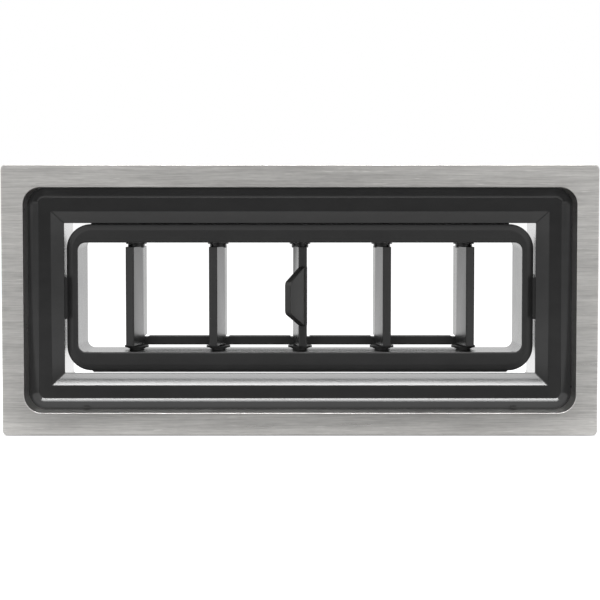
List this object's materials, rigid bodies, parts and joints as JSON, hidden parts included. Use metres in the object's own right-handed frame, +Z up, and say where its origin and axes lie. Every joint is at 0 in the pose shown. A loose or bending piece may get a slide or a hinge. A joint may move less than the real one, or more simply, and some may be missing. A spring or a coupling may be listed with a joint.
{
  "type": "air conditioning louver vent",
  "caption": "Rectangular dashboard air vent: brushed metal bezel round a stepped black housing, with a tilting frame of linked upright vanes and a thumb tab.",
  "frame": {"origin": "centre of the bezel's rear plane, where the vent seats on its panel", "axes": "+Z up, the bezel's face looks along -Y, +Y points back into the duct, +X to the viewer's right"},
  "size_m": [0.1396, 0.038, 0.0636],
  "materials": {
    "brushed_aluminium": "brushed along X, satin",
    "black_plastic": "moulded, semi-gloss",
    "black_nylon": "moulded, matt",
    "spring_steel": "bright, cold rolled"
  },
  "bodies": {
    "vent_body": {"bezel": "brushed_aluminium", "housing": "black_plastic", "bezel_screw_1": "spring_steel", "bezel_screw_2": "spring_steel", "bezel_screw_3": "spring_steel", "bezel_screw_4": "spring_steel", "dash_clip_1": "spring_steel", "dash_clip_2": "spring_steel", "dash_clip_3": "spring_steel", "dash_clip_4": "spring_steel", "friction_washer_left": "black_nylon", "friction_washer_right": "black_nylon", "tilt_pin_left": "spring_steel", "tilt_pin_right": "spring_steel"},
    "tilt_body": {"tilt_frame": "black_plastic", "vane_bush_1": "black_nylon", "vane_bush_2": "black_nylon", "vane_bush_3": "black_nylon", "vane_bush_4": "black_nylon", "vane_bush_5": "black_nylon"},
    "vane_1": {"vane_1": "black_plastic"},
    "vane_2": {"vane_2": "black_plastic"},
    "vane_3": {"vane_3": "black_plastic"},
    "vane_4": {"vane_4": "black_plastic"},
    "vane_5": {"vane_5": "black_plastic"},
    "link": {"link_bar": "black_plastic"}
  },
  "joints": [
    {"name": "frame_tilt", "type": "hinge", "parent": "vent_body", "child": "tilt_body", "pos_m": [0, 0.0158, 0], "axis": [1, 0, 0], "range_deg": [-20, 20]},
    {"name": "vane_1_yaw", "type": "hinge", "parent": "tilt_body", "child": "vane_1", "pos_m": [-0.04066, 0.0163, 0], "axis": [0, 0, 1], "range_deg": [-35, 35]},
    {"name": "vane_2_yaw", "type": "hinge", "parent": "tilt_body", "child": "vane_2", "pos_m": [-0.02033, 0.0163, 0], "axis": [0, 0, 1], "range_deg": [-35, 35]},
    {"name": "vane_3_yaw", "type": "hinge", "parent": "tilt_body", "child": "vane_3", "pos_m": [0, 0.0163, 0], "axis": [0, 0, 1], "range_deg": [-35, 35]},
    {"name": "vane_4_yaw", "type": "hinge", "parent": "tilt_body", "child": "vane_4", "pos_m": [0.02033, 0.0163, 0], "axis": [0, 0, 1], "range_deg": [-35, 35]},
    {"name": "vane_5_yaw", "type": "hinge", "parent": "tilt_body", "child": "vane_5", "pos_m": [0.04066, 0.0163, 0], "axis": [0, 0, 1], "range_deg": [-35, 35]},
    {"name": "link_bar_pivot", "type": "hinge", "parent": "vane_3", "child": "link", "pos_m": [0, 0.0233, 0], "axis": [0, 0, 1], "range_deg": [-35, 35]}
  ],
  "couplings": [
    {"joint": "vane_1_yaw", "follows": "vane_3_yaw", "ratio": 1},
    {"joint": "vane_2_yaw", "follows": "vane_3_yaw", "ratio": 1},
    {"joint": "vane_4_yaw", "follows": "vane_3_yaw", "ratio": 1},
    {"joint": "vane_5_yaw", "follows": "vane_3_yaw", "ratio": 1},
    {"joint": "link_bar_pivot", "follows": "vane_3_yaw", "ratio": -1}
  ]
}
